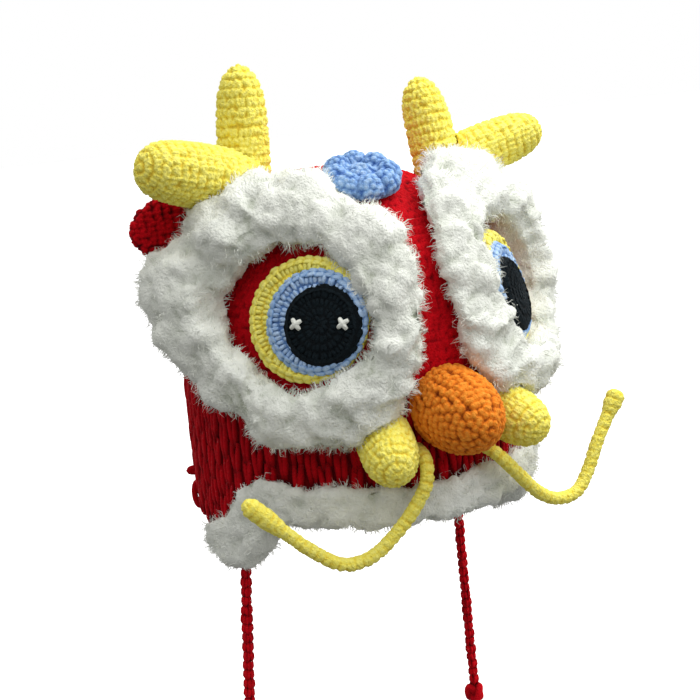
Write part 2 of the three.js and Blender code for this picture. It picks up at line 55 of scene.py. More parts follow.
# Camera: degrees round the object, above the horizon and about its own line of sight.
CAMERA = Sizes(azimuth=-27.0, elevation=11.7, roll=4.5, distance=840.0)
AIM = Sizes(height=61.8, sideways=1.0)
PICTURE = Sizes(pixels=700, mm_per_pixel=0.55, sensor=36.0)

# Cap: height and half width of its outline, as in the part.
CAP_ROWS = [
    (-44, 86), (0, 87.5), (40, 88), (80, 87), (112, 79), (136, 64), (153, 43), (161, 22), (163, 0),
]
CAP_PLACES = 600
DEPTH_RATIO = 1.16
WALL = 6.0
CAP_HEART = 80.0
GATHER = Sizes(count=10, depth=0.07, start=132, end=161)
RIM_EDGE = 8.5
FLAP = Sizes(front=56, tip_front=80, tip_back=92, back=158, drop=32)
# How deep a stitch may lie in what its form is sewn to.
SEWN_IN = 1.0

# Eyes: where they face from the heart of the cap, and their discs from the back to the front.
EYE = Sizes(azimuth={"right": 38.3, "left": 36.0}, elevation=10.5)
Disc = namedtuple("Disc", "radius front inward down slot cell rings thickness")
EYE_DISCS = {
    "eye_yellow": Disc(30.8, 4.0, 0.5, 0.0, "yellow_yarn", 4.8, 3, 3.4),
    "eye_blue": Disc(25.8, 7.2, 6.0, 1.5, "blue_yarn", 4.8, 3, 3.4),
    "eye_pupil": Disc(20.2, 10.4, 10.0, 3.5, "black_yarn", 4.2, 5, 0.8),
}

# Stuffed forms: their axes from the sewn end to the tip, and how full they are.
Form = namedtuple("Form", "root tip slot fill", defaults=("yellow_yarn", 0.9))
STUFFED = {
    "horn_beam_right": Form((-54, -2, 128), (-49, 3, 221)),
    "horn_tine_right": Form((-54, -4, 160), (-117, -19, 176)),
    "horn_beam_left": Form((64, -14, 124), (56.5, 3, 206)),
    "horn_tine_left": Form((60, -7, 156), (122, -18, 173)),
    "tusk_right": Form((-29, -84, 42), (-43, -126, 26)),
    "tusk_left": Form((30, -84, 46), (42.5, -124.5, 31)),
    "nose": Form((0, -84, 53), (0, -142, 43), "orange_yarn"),
    "ear_right": Form((-60, 18, 141), (-113, 16, 139), "red_yarn", 0.4),
    "ear_left": Form((60, 18, 141), (113, 16, 139), "red_yarn", 0.4),
}
BEAM_RADIUS = 13.0

WHISKER = Sizes(
    radius=3.3, tip_radius=4.8, tip_share=0.14, rounded_share=0.03, least=0.05, places=200, columns=24,
)
WHISKER_ROUTES = {
    "right": [
        (-16, -94, 30), (-20, -112, 28), (-23, -118, 19), (-28, -117, 9), (-38, -114, -4),
        (-52, -111, -15), (-66, -107, -17), (-80, -104, -8), (-95, -100, 6), (-110, -96, 21),
    ],
    "left": [
        (15, -94, 28), (19, -112, 24), (30, -114, 12), (44, -111, -2), (58, -108, -10),
        (72, -106, -10), (81, -104, -2), (90, -102, 13), (100, -100, 27), (107, -99, 37),
    ],
}
TIE = Sizes(length=152.0, radius=3.0, out=8.0, back=5.0, points=31)
TIE_AZIMUTH = {"right": 76, "left": 108}
KNOT = Sizes(length=19.0, radius=6.6, strand=2.5, gap=0.3)
ROSETTE = Sizes(azimuth=-11.0, height=155.3, petals=8, rows=52, columns=150)

Part = namedtuple("Part", "points faces shade normals", defaults=(None,))
Spots = namedtuple("Spots", "place across along out")


# Numbers and lines
def unit(vectors):
    vectors = np.asarray(vectors, float)
    length = norm(vectors, axis=-1, keepdims=True)
    return vectors / np.maximum(length, TINY)


def smooth(start, end, value):
    share = np.clip((value - start) / (end - start), 0, 1)
    return share * share * (3 - 2 * share)


def summed(steps):
    """Distances at the ends of steps, from 0."""
    return np.concatenate([[0], np.cumsum(steps)])


def lengths(line):
    """Distance along a line to each of its places."""
    return summed(norm(np.diff(line, axis=0), axis=1))


def along_line(at, reach, places):
    """Places at given distances along a line."""
    return beside(*(np.interp(at, reach, column) for column in places.T))


def beside(*columns):
    return np.stack(columns, axis=-1)


def closed(places):
    return np.concatenate([places, places[:1]])


def full_turn(count):
    return np.linspace(0, 2 * math.pi, count, endpoint=False)


def ways_round(turn):
    """Level directions at angles in radians."""
    return beside(np.cos(turn), np.sin(turn), 0 * turn)


def spline(points, count):
    """Smooth line of as many places as count through the points."""
    points = np.asarray(points, float)
    last = len(points) - 1
    at = np.linspace(0, last, count)
    step = np.minimum(at.astype(int), last - 1)
    share = (at - step)[:, None]
    before, start, end, after = (points[np.clip(step + k, 0, last)] for k in (-1, 0, 1, 2))
    leave, arrive = (end - before) / 2, (after - start) / 2
    cubic = 2 * start - 2 * end + leave + arrive
    square = 3 * end - 3 * start - 2 * leave - arrive
    return cubic * share**3 + square * share**2 + leave * share + start


def nearest(points, places):
    """Number and distance of the place nearest to each point."""
    finder = KDTree(len(places))
    for number, place in enumerate(places):
        finder.insert(Vector(place), number)
    finder.balance()
    numbers, away = np.array([finder.find(Vector(point))[1:] for point in points]).T
    return numbers.astype(int), away


# Meshes
def joined(*parts):
    """One part out of several."""
    starts = summed([len(part.points) for part in parts])
    faces = [f + start for part, start in zip(parts, starts) for f in part.faces]
    points = np.concatenate([part.points for part in parts])
    return Part(points, faces, np.concatenate([part.shade for part in parts]))


def add_object(name, part, material):
    """A smooth mesh object from a part, with its shade at each point."""
    mesh = bpy.data.meshes.new(name)
    corners = np.concatenate([f.ravel() for f in part.faces]).astype(np.int32)
    sizes = np.concatenate([np.full(len(f), f.shape[1]) for f in part.faces])
    mesh.vertices.add(len(part.points))
    mesh.vertices.foreach_set("co", (part.points * MM).astype(np.float32).ravel())
    mesh.loops.add(len(corners))
    mesh.loops.foreach_set("vertex_index", corners)
    mesh.polygons.add(len(sizes))
    mesh.polygons.foreach_set("loop_start", (np.cumsum(sizes) - sizes).astype(np.int32))
    mesh.polygons.foreach_set("use_smooth", np.ones(len(sizes), bool))
    mesh.update(calc_edges=True)
    mesh.validate()
    shade = mesh.attributes.new("shade", "FLOAT", "POINT")
    shade.data.foreach_set("value", part.shade.astype(np.float32))
    if part.normals is not None:
        mesh.normals_split_custom_set_from_vertices(part.normals.tolist())
    mesh.materials.append(material)
    piece = bpy.data.objects.new(name, mesh)
    scene.collection.objects.link(piece)
    return piece


def add_piece(name, part, slot, *nodes, finish=None):
    """A piece that stands for CAD nodes and takes a slot's finish, or one of its own."""
    piece = add_object(name, part, MATERIALS[finish or slot])
    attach(piece, "root")
    if nodes:
        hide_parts(*nodes)
    return piece


def solid(node):
    """Points in millimetres and triangles of a CAD node, with shared corners made one."""
    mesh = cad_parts[node].data
    corners = np.empty(3 * len(mesh.vertices), np.float32)
    mesh.vertices.foreach_get("co", corners)
    corners = np.round(corners.reshape(-1, 3).astype(float) / MM, 3)
    points, shared = np.unique(corners, axis=0, return_inverse=True)
    triangles = shared.reshape(-1)[np.array([face.vertices[:] for face in mesh.polygons])]
    whole = [len(set(triangle)) == 3 for triangle in triangles.tolist()]
    return points, triangles[whole]


def triangle_corners(points, triangles):
    return (points[triangles[:, k]] for k in range(3))


def face_normals(points, triangles):
    """Directions out of the triangles, twice as long as their areas."""
    a, b, c = triangle_corners(points, triangles)
    return np.cross(b - a, c - a)


def areas(points, triangles):
    return norm(face_normals(points, triangles), axis=1) / 2


def normals(points, triangles):
    face = face_normals(points, triangles)
    total = np.zeros_like(points)
    for k in range(3):
        np.add.at(total, triangles[:, k], face)
    return unit(total)


def tree_of(points, triangles):
    return BVHTree.FromPolygons(points.tolist(), triangles.tolist())


def shrunk(node, inset, shade):
    """The ground under the stitches: a node's own shape, drawn in."""
    points, triangles = solid(node)
    ground = points - inset * normals(points, triangles)
    return Part(ground, [triangles], np.full(len(points), shade))


# Yarn
def frames_along(path):
    """Two directions across a path that turn as little as they can."""
    along = unit(np.gradient(path, axis=0))
    side = np.empty_like(along)
    previous = np.cross(along[0], UP)
    if norm(previous) < STEEP:
        previous = SIDEWAYS
    for k, direction in enumerate(along):
        previous = unit(previous - direction * previous.dot(direction))
        side[k] = previous
    return side, np.cross(along, side)


def tube_grid(path, radii, columns):
    """Rings of places round a path."""
    side, other = frames_along(path)
    turn = full_turn(columns)[None, :, None]
    ring = np.cos(turn) * side[:, None] + np.sin(turn) * other[:, None]
    return path[:, None] + np.asarray(radii)[:, None, None] * ring


def strand(path, radii, sides, shade=1.0):
    """A closed length of yarn along a path, of one radius or one for each place."""
    path = np.asarray(path, float)
    count = len(path)
    rings = tube_grid(path, np.broadcast_to(radii, count), sides)
    j = np.arange(sides)
    k = (j + 1) % sides
    near = sides * np.arange(count - 1)[:, None]
    far = near + sides
    quads = beside(near + j, near + k, far + k, far + j).reshape(-1, 4)
    first = np.full(sides, count * sides)
    caps = np.concatenate([
        beside(first, k, j), beside(first + 1, far[-1] + j, far[-1] + k),
    ])
    points = np.concatenate([rings.reshape(-1, 3), path[:1], path[-1:]])
    return Part(points, [quads, caps], np.full(len(points), float(shade)))


# Legs of a stitch: how soon they are full, and the share of their girth in full painted shade.
LEG = Sizes(places=4, fullness=0.7, dark=0.5)
# How far a stitch is astray for its wobble, and how much its tone varies.
ASTRAY = Sizes(place=0.7, tone=0.1)


def v_stitch(foot, head, crest, girth, ends, sides):
    """Two legs that lean apart, in a cell one wide and one high.
    The foot and the head are (across, along, out); crest is how far the middle stands out."""
    share = np.linspace(0, 1, LEG.places)
    lean = smooth(0, 1, share)
    swell = np.sin(math.pi * share)
    taper = ends[0] + (ends[1] - ends[0]) * share
    radii = girth * (taper + (1 - taper) * swell ** LEG.fullness)
    darkest = min(foot[2], head[2]) - LEG.dark * girth
    legs = []
    for sign in (-1, 1):
        path = beside(
            sign * (foot[0] + (head[0] - foot[0]) * lean),
            foot[1] + (head[1] - foot[1]) * share,
            foot[2] + (head[2] - foot[2]) * share + crest * swell,
        )
        leg = strand(path, radii, sides)
        # Painted shade low on each leg and a painted highlight on its crest, by height.
        legs.append(leg._replace(shade=smooth(darkest, crest + girth, leg.points[:, 2])))
    return legs


POST = v_stitch(
    foot=(0.15, -0.60, -0.03), head=(0.25, 0.58, -0.03), crest=0.08, girth=0.25, ends=(0.75, 0.8), sides=6,
)
CHAIN = v_stitch(
    foot=(0.12, -0.66, -0.10), head=(0.26, 0.56, -0.05), crest=0.22, girth=0.25, ends=(0.6, 0.6), sides=6,
)
CROCHET = v_stitch(
    foot=(0.17, -0.46, -0.14), head=(0.27, 0.44, 0.0), crest=0.12, girth=0.27, ends=(0.6, 0.8), sides=5,
)


def sew(stitch, spots, size, sink, wobble=0.05, bright=1.0):
    """One copy of a stitch at each spot; size is its width, height and thickness."""
    size = np.asarray(size, float)
    return joined(*(sew_leg(leg, spots, size, sink, wobble, bright) for leg in stitch))


def sew_leg(leg, spots, size, sink, wobble, bright):
    """One copy of a leg at each spot, each a little astray."""
    count = len(spots.place)
    stray = ASTRAY.place * wobble * size * gauss((count, 3))
    place = spots.place + stray[:, :1] * spots.across
    place = place + stray[:, 1:2] * spots.along + stray[:, 2:] * spots.out
    scale = size * (1 + wobble * gauss((count, 3)))
    turn = (wobble * gauss(count))[:, None]
    across = np.cos(turn) * spots.across + np.sin(turn) * spots.along
    along = np.cos(turn) * spots.along - np.sin(turn) * spots.across
    local = leg.points[None] * scale[:, None]
    points = (
        place[:, None] + local[..., 0:1] * across[:, None]
        + local[..., 1:2] * along[:, None] + (local[..., 2:3] - sink) * spots.out[:, None]
    )
    starts = (np.arange(count) * len(leg.points))[:, None, None]
    faces = [(f[None] + starts).reshape(-1, f.shape[1]) for f in leg.faces]
    tone = ASTRAY.tone * gauss(count)
    # The leg's painted shade and highlight, dimmed as a whole where the stitches are painted darker, with
    # a random tone of each stitch's own.
    shade = bright * leg.shade[None] * (1 + tone[:, None])
    return Part(points.reshape(-1, 3), faces, shade.ravel())


def chosen(spots, keep):
    return Spots(*(part[keep] for part in spots))


def gathered(groups):
    return Spots(*(np.concatenate(parts) for parts in zip(*groups)))


def rounds(grid, width, row, tip=None, first=0.4, fewest=4):
    """Spots for rounds of stitches over rings of places, from the last ring back to the first.
    The rings run anticlockwise as seen from the last one, so the outside is known."""
    reach = summed(norm(np.diff(grid, axis=0), axis=2).mean(axis=1))
    levels = np.arange(reach[-1] - first * row, 0, -row)
    groups = []
    for number, level in enumerate(levels):
        ring, lower, upper = (
            np.stack([along_line(at, reach, grid[:, j]) for j in range(grid.shape[1])])
            for at in (level, max(level - 1, 0), min(level + 1, reach[-1]))
        )
        around = lengths(closed(ring))
        count = max(fewest, round(around[-1] / width))
        at = ((np.arange(count) + 0.5 * (number % 2)) / count % 1) * around[-1]

        def sample(places):
            return along_line(at, around, closed(places))

        along = unit(sample(upper) - sample(lower))
        turning = unit(sample(np.roll(ring, -1, axis=0)) - sample(np.roll(ring, 1, axis=0)))
        out = unit(np.cross(turning, along))
        groups.append(Spots(sample(ring), np.cross(along, out), along, out))
    if tip is not None:
        axis = unit(grid[-1].mean(axis=0) - grid[-2].mean(axis=0))
        across = unit(grid[-1][0] - grid[-1].mean(axis=0))
        across = unit(across - axis * across.dot(axis))
        along = np.cross(axis, across)
        groups.append(Spots(*(np.array([v], float) for v in (tip, across, along, axis))))
    return gathered(groups)


# Cap surface
CAP_HEIGHT, CAP_WIDTH = spline(CAP_ROWS, CAP_PLACES).T
MEAN_RATIO = (1 + DEPTH_RATIO) / 2
CAP_REACH = summed(np.hypot(MEAN_RATIO * np.diff(CAP_WIDTH), np.diff(CAP_HEIGHT)))
CAP_SPREAD = np.gradient(CAP_WIDTH, CAP_REACH)
CAP_RISE = np.gradient(CAP_HEIGHT, CAP_REACH)


def reach_at(height):
    return np.interp(height, CAP_HEIGHT, CAP_REACH)


def cap(azimuth, reach, lift=0.0):
    """Spots on the cap, for azimuths from the front in radians and reaches up its outline."""
    azimuth, reach = np.broadcast_arrays(np.asarray(azimuth, float), np.asarray(reach, float))
    width, height, spread, rise = (
        np.interp(reach, CAP_REACH, column) for column in (CAP_WIDTH, CAP_HEIGHT, CAP_SPREAD, CAP_RISE)
    )
    gather = GATHER.depth * smooth(GATHER.start, GATHER.end, height)
    width = width * (1 + gather * np.cos(GATHER.count * azimuth))
    sideways, forwards = np.sin(azimuth), DEPTH_RATIO * np.cos(azimuth)
    place = beside(width * sideways, -width * forwards, height)
    around = beside(np.cos(azimuth), DEPTH_RATIO * sideways, 0 * azimuth)
    along = unit(beside(spread * sideways, -spread * forwards, rise))
    out = unit(np.cross(around, along))
    return Spots(place + lift * out, np.cross(along, out), along, out)


def standing(out):
    """Sideways, upward and outward directions of what stands on the cap."""
    across = unit(np.cross(UP, out))
    return np.stack([across, np.cross(out, across), out])


def edge_height(azimuth):
    """Height of the knitted edge, with its two flaps."""
    turn = np.abs((np.degrees(azimuth) + 180) % 360 - 180)
    fall = smooth(FLAP.front, FLAP.tip_front, turn)
    return RIM_EDGE - FLAP.drop * (fall * (1 - smooth(FLAP.tip_back, FLAP.back, turn)))


def outside_cap(places):
    width = np.interp(places[:, 2], CAP_HEIGHT, CAP_WIDTH)
    return np.hypot(places[:, 0], places[:, 1] / DEPTH_RATIO) > width - SEWN_IN


# Materials: screen colours of the painted shade between the stitches and tufts, of the yarn itself and of
# the painted highlight on their crests, and fineness of the fuzz.
Yarn = namedtuple("Yarn", "crevice body crest sheen grain")
YARNS = {
    "red_yarn": Yarn((84, 0, 8), (176, 3, 17), (216, 10, 26), 0.1, 900),
    "yellow_yarn": Yarn((238, 206, 66), (253, 238, 98), (255, 247, 136), 0.3, 900),
    "blue_yarn": Yarn((66, 104, 170), (132, 170, 218), (182, 208, 238), 0.3, 900),
    "black_yarn": Yarn((6, 10, 13), (12, 20, 24), (17, 27, 32), 0.1, 1200),
    "orange_yarn": Yarn((128, 54, 12), (230, 124, 32), (246, 158, 58), 0.25, 900),
    "white_plush": Yarn((172, 179, 158), (212, 215, 204), (231, 233, 224), 0.1, 700),
}
YARNS["white_pile"] = YARNS["white_plush"]._replace(grain=None)
MATT = {"Roughness": 0.9, "Specular IOR Level": 0.1, "Sheen Roughness": 0.45}
MOTTLE = {"Scale": 130, "Detail": 3}
MOTTLE_SPAN = 0.5
FUZZ = Sizes(detail=4, height=1.3)


def srgb(red, green, blue):
    """A screen colour from 0 to 255 as the shaders take it, by the sRGB standard."""
    share = np.array((red, green, blue)) / 255
    light = np.where(share <= 0.04045, share / 12.92, ((share + 0.055) / 1.055) ** 2.4)
    return (*light.tolist(), 1.0)


def set_inputs(node, values):
    for entry, value in values.items():
        node.inputs[entry].default_value = value


def add_node(tree, kind, values=None):
    """A new shader node with some of its inputs set."""
    node = tree.nodes.new(f"ShaderNode{kind}")
    set_inputs(node, values or {})
    return node


def connect(tree, *links):
    """Links, each from an output of one node to an input of another."""
    for source, output, target, entry in links:
        tree.links.new(source.outputs[output], target.inputs[entry])


def new_material(name, values):
    """A material with some of its shader's inputs set, and that shader."""
    material = bpy.data.materials.new(name)
    material.use_nodes = True
    shader = material.node_tree.nodes["Principled BSDF"]
    set_inputs(shader, values)
    return material, shader


def yarn_material(name, yarn):
    """Soft mottled yarn with painted shade between the stitches and painted highlights on their crests,
    and a fuzzy bump where it has a grain.
    """
    crevice, body, crest = (srgb(*colour) for colour in (yarn.crevice, yarn.body, yarn.crest))
    material, shader = new_material(name, {**MATT, "Sheen Weight": yarn.sheen, "Sheen Tint": crest})
    tree = material.node_tree
    # The shade attribute picks between the painted shade, the yarn's own colour and the painted highlight.
    depth = add_node(tree, "Attribute")
    depth.attribute_name = "shade"
    place = add_node(tree, "TexCoord")
    mottle = add_node(tree, "TexNoise", MOTTLE)
    uneven = add_node(tree, "Math", {1: MOTTLE_SPAN, 2: -MOTTLE_SPAN / 2})
    uneven.operation = "MULTIPLY_ADD"
    level = add_node(tree, "Math")
    level.operation = "ADD"
    colours = add_node(tree, "ValToRGB")
    stops = colours.color_ramp.elements
    stops[0].color, stops[1].color = crevice, crest
    middle = stops.new(0.5)
    middle.color = body
    connect(
        tree,
        (place, "Object", mottle, "Vector"), (mottle, "Fac", uneven, 0),
        (depth, "Fac", level, 0), (uneven, "Value", level, 1),
        (level, "Value", colours, "Fac"), (colours, "Color", shader, "Base Color"),
    )
    if yarn.grain:
        fuzz = add_node(tree, "TexNoise", {"Scale": yarn.grain, "Detail": FUZZ.detail})
        bump = add_node(tree, "Bump", {"Strength": 1.0, "Distance": FUZZ.height * MM})
        connect(
            tree,
            (place, "Object", fuzz, "Vector"), (fuzz, "Fac", bump, "Height"),
            (bump, "Normal", shader, "Normal"),
        )
    return material


MATERIALS = {name: yarn_material(name, yarn) for name, yarn in YARNS.items()}


# Camera
def make_camera():
    turn, rise, roll = np.radians((CAMERA.azimuth, CAMERA.elevation, CAMERA.roll))
    back = np.array((math.sin(turn) * math.cos(rise), -math.cos(turn) * math.cos(rise), math.sin(rise)))
    level = np.array((math.cos(turn), math.sin(turn), 0.0))
    upright = np.cross(back, level)
    across = level * math.cos(roll) - upright * math.sin(roll)
    upward = level * math.sin(roll) + upright * math.cos(roll)
    place = AIM.height * UP + AIM.sideways * across + CAMERA.distance * back
    lens = bpy.data.cameras.new("camera")
    lens.sensor_width = PICTURE.sensor
    pixels_away = CAMERA.distance / PICTURE.mm_per_pixel
    lens.lens = PICTURE.sensor * pixels_away / PICTURE.pixels
    lens.clip_start, lens.clip_end = 0.01, 100
    camera = bpy.data.objects.new("camera", lens)
    scene.collection.objects.link(camera)
    matrix = np.identity(4)
    matrix[:3] = beside(across, upward, back, place * MM)
    camera.matrix_world = Matrix(matrix.tolist())
    scene.camera = camera


# Ties
TIE_CORE = 0.72
LINK = Sizes(width=4.6, row=5.2, sink=1.7, columns=16)
# Knot: its three loops, how far down their middle is, the share of its radius in full painted shade at its
# middle, and its tail.
COIL = Sizes(places=72, overlap=3, rise=4.2, middle=6.8, dark=0.2)
TAIL = Sizes(top=3.0, lean=(1.2, -0.8), girth=0.95)
TAIL_SHARES = (0.8, 1, 1, 1, 1, 1.1, 1.2, 0.7)


def knot_part(top, down):
    """An overhand knot on the end of a tie, with a short tail."""
    turn = full_turn(COIL.places)
    wide = (KNOT.radius - KNOT.strand) / 3
    loops = beside(
        wide * (np.sin(turn) + 2 * np.sin(2 * turn)),
        wide * (np.cos(turn) - 2 * np.cos(2 * turn)),
        -COIL.rise * np.sin(3 * turn) - COIL.middle,
    )
    loops = np.concatenate([loops, loops[:COIL.overlap]])
    tail = np.linspace((0, 0, -TAIL.top), (*TAIL.lean, -KNOT.length), len(TAIL_SHARES))
    girth = np.array(TAIL_SHARES) * TAIL.girth * KNOT.strand
    part = joined(strand(loops, KNOT.strand, sides=10), strand(tail, girth, sides=10))
    away = np.hypot(part.points[:, 0], part.points[:, 1])
    across = unit(np.cross(down, (0.0, 1.0, 0.0)))
    points = top + part.points @ np.stack([across, np.cross(-down, across), -down])
    # Painted shade towards the knot's middle, painted light towards its outside.
    return part._replace(points=points, shade=smooth(COIL.dark, 1.0, away / KNOT.radius))


def make_ties():
    width, row = LINK.width, LINK.row
    for side, sign in SIDES.items():
        azimuth = math.radians(sign * TIE_AZIMUTH[side])
        top = cap(azimuth, reach_at(edge_height(azimuth)), -WALL / 2).place
        low = top + np.array((sign * TIE.out, TIE.back, -TIE.length))
        path = np.linspace(top, low, TIE.points)
        # A core in full painted shade shows between the chain's links.
        core = strand(path, TIE_CORE * TIE.radius, sides=8, shade=0.0)
        grid = tube_grid(path, np.full(len(path), TIE.radius), LINK.columns)
        chain = sew(CHAIN, rounds(grid, width, row), (width, row, width), LINK.sink)
        tie = add_piece(f"tie_chain_{side}", joined(core, chain), "red_yarn", f"tie_{side}")
        down = unit(low - top)
        end = knot_part(low + KNOT.gap * down, down)
        knot = add_piece(f"tie_end_{side}", end, "red_yarn", f"tie_knot_{side}")
        float(norm(low - top)) * MM


# Knobbly skins: a stitch is a cell with knobs up each of its two legs, at shares of its height.
Cell = namedtuple("Cell", "width row knobs reach crest inset stray")
CAP_CELL = Cell(5.6, 5.0, (-0.18, 0.2), 1.8, 0.75, 0.3, 0.09)
CROCHET_CELL = Cell(5.3, 5.0, (-0.12, 0.2), 1.5, 0.9, 0.5, 0.08)
NOSE_CELL = Cell(5.6, 3.6, (0.0,), 1.9, 0.95, 0.4, 0.14)
WHISKER_CELL = Cell(4.4, 4.2, (-0.15, 0.2), 1.3, 0.5, 0.2, 0.08)
ROSETTE_CELL = Cell(5.6, 3.3, (0.0,), 1.6, 0.6, 0.1, 0.13)
# Knobs: the two legs' places, how far their creases may go, and the painted shade: its level and how much
# lighter it is painted towards the knobs' tops.
KNOB = Sizes(legs=(-0.25, 0.25), deepest=1.3, shade=0.35, tone=0.5)
SKIN = Sizes(voxel=0.8, smoothing=3, fuzz=0.09)


def remeshed(node, skin):
    """An even, softened skin over a CAD node."""
    draft = add_object("draft", shrunk(node, 0.0, 0.0), MATERIALS["white_plush"])
    remesh = draft.modifiers.new("remesh", "REMESH")
    remesh.mode = "VOXEL"
    remesh.voxel_size = skin.voxel * MM
    soften = draft.modifiers.new("soften", "SMOOTH")
    soften.factor, soften.iterations = 0.5, skin.smoothing
    mesh = draft.evaluated_get(bpy.context.evaluated_depsgraph_get()).to_mesh()
    mesh.calc_loop_triangles()
    places = np.array([v.co[:] for v in mesh.vertices]) / MM
    faces = np.array([t.vertices[:] for t in mesh.loop_triangles])
    bpy.data.objects.remove(draft)
    return places, faces


def wrapped(rows, columns):
    """Triangles over rings of places that each close on themselves."""
    j = np.arange(columns)
    k = (j + 1) % columns
    near = columns * np.arange(rows - 1)[:, None]
    far = near + columns
    return beside(near + j, near + k, far + k, near + j, far + k, far + j).reshape(-1, 3)


def knobbly(points, triangles, spots, cell):
    """A skin raised into the knobs of its stitches."""
    tops = []
    for leg in KNOB.legs:
        for level in cell.knobs:
            astray = cell.stray * gauss((2, len(spots.place), 1))
            sideways = cell.width * (leg + astray[0]) * spots.across
            tops.append(spots.place + sideways + cell.row * (level + astray[1]) * spots.along)
    _, away = nearest(points, np.concatenate(tops))
    knob = 1 - np.minimum(away / cell.reach, KNOB.deepest) ** 2
    lift = cell.crest * knob - cell.inset + SKIN.fuzz * gauss(len(points))
    # Painted shade in the creases between the knobs and a painted highlight on their tops.
    shade = np.clip(KNOB.shade + KNOB.tone * knob, 0, 1)
    return Part(points + lift[:, None] * normals(points, triangles), [triangles], shade)


def knobbly_tube(grid, cell):
    """A knobbly skin over rings of places, closed at both ends."""
    rows, columns = grid.shape[:2]
    skin = wrapped(rows, columns)
    tube = knobbly(grid.reshape(-1, 3), skin, rounds(grid, cell.width, cell.row), cell)
    ring = np.arange(columns)[None]
    return tube._replace(faces=[skin, ring[:, ::-1], (rows - 1) * columns + ring])


# Knitted cap
# The posts of the lower cap are painted darker as a whole: painted shade over the lower cap, under the
# overhanging plush and nose.
CAP_POST = Sizes(size=(7.8, 15.0, 7.0), sink=0.8, wobble=0.055, bright=0.55, stagger=0.5)
POST_END = Sizes(above_edge=0.4, tuck=3.2, past_seam=1.0)
POSTS_TO = 62.0
CAP_SKIN = Sizes(columns=464, step=1.25, block=4, seam=3.0, tuck=2.5, short_of_top=1.5)
# Ground under the knitted cap: its shade outside is painted shade in the gaps between the stitches;
# inside, the shade is near the yarn's own colour.
GROUND = Sizes(posts=1.0, crochet=1.8, seam=6.0, shade=0.12, inside=0.55)
HEM = Sizes(pitch=6.5, size=(8.5, 7.0, 6.0), sink=1.2, outward=0.35)
# Share of a row that may hang over the edge.
OVERHANG = 0.25
# Loose loops of yarn: how far they stand out, half their span and their radius.
Loop = namedtuple("Loop", "azimuth height stand half radius")
LOOPS = [Loop(-112, 1.5, 3.6, 0.9, 2.0), Loop(-113, -13.0, 2.4, 7.0, 1.7)]
# What may cover the cap.
PAIRED_COVERS = ("eye_fur", "eye_yellow", "horn_beam", "tusk", "ear")
COVERS = ["nose", "rosette", *(f"{piece}_{side}" for piece in PAIRED_COVERS for side in SIDES)]


def covered(spots, trees, margin=10.0, below=2.0, limit=7.0):
    """Which spots lie well under a sewn piece."""
    steps = [(0, 0), (margin, 0), (-margin, 0), (0, margin), (0, -margin)]
    found = np.zeros(len(spots.place), bool)
    for k, (place, across, along, out) in enumerate(zip(*spots)):
        out = Vector(out)
        starts = [Vector(place + a * across + b * along) - below * out for a, b in steps]
        found[k] = any(all(tree.ray_cast(start, out, limit)[0] for start in starts) for tree in trees)
    return found


def cap_row(reach, width, row, stagger):
    """Spots of one level row round the cap, down to its edge; stagger lifts every other one."""
    around = 2 * math.pi * MEAN_RATIO * np.interp(reach, CAP_REACH, CAP_WIDTH)
    count = max(3, 2 * round(around / width / 2))
    azimuth = (np.arange(count) + 0.5) / count * 2 * math.pi - math.pi
    level = reach + stagger * row * (np.arange(count) % 2)
    kept = np.interp(level, CAP_REACH, CAP_HEIGHT) - OVERHANG * row > edge_height(azimuth)
    return cap(azimuth[kept], level[kept])


def cap_rows(width, row, low, high, stagger=0.0):
    """Spots of rows of stitches over the cap between two reaches."""
    rows = round((high - low) / row)
    levels = low + (np.arange(rows) + 0.5) * (high - low) / rows
    return gathered([cap_row(reach, width, row, stagger) for reach in levels])


def cap_skin(low, high, trees):
    """The crocheted upper cap: a fine skin, left out well under what is sewn on."""
    block, columns = CAP_SKIN.block, CAP_SKIN.columns
    rows = block * round((high - low) / CAP_SKIN.step / block) + 1
    azimuth = np.linspace(-math.pi, math.pi, columns, endpoint=False)
    reach = np.linspace(low - CAP_SKIN.seam, high, rows)[:, None]
    tuck = CAP_SKIN.tuck * (1 - smooth(low - CAP_SKIN.seam, low, reach))
    grid = cap(azimuth, reach, -tuck[..., None])
    marks = Spots(*(part[::block, ::block].reshape(-1, 3) for part in grid))
    hidden = covered(marks, trees).reshape(-1, columns // block)
    hidden = hidden & np.roll(hidden, -1, axis=1)
    hidden = hidden[:-1] & hidden[1:]
    shown = ~np.repeat(np.repeat(hidden, block, axis=0), block, axis=1)
    triangles = wrapped(rows, columns).reshape(rows - 1, columns, 2, 3)[shown].reshape(-1, 3)
    used, triangles = np.unique(triangles, return_inverse=True)
    points = grid.place.reshape(-1, 3)[used]
    spots = cap_rows(CAP_CELL.width, CAP_CELL.row, low, high)
    return knobbly(points, triangles.reshape(-1, 3), spots, CAP_CELL)


def trimmed(posts):
    """Posts that end at the knitted edge, and whose tops go under the crochet."""
    points = posts.points.copy()
    azimuth = np.arctan2(points[:, 0], -points[:, 1] / DEPTH_RATIO)
    tuck = POST_END.tuck
    points[:, 2] = np.clip(points[:, 2], edge_height(azimuth) + POST_END.above_edge, POSTS_TO + tuck)
    inward = unit(beside(-np.sin(azimuth), np.cos(azimuth) / DEPTH_RATIO, 0 * azimuth))
    points += tuck * smooth(POSTS_TO - tuck, POSTS_TO + POST_END.past_seam, points[:, 2:]) * inward
    return posts._replace(points=points)


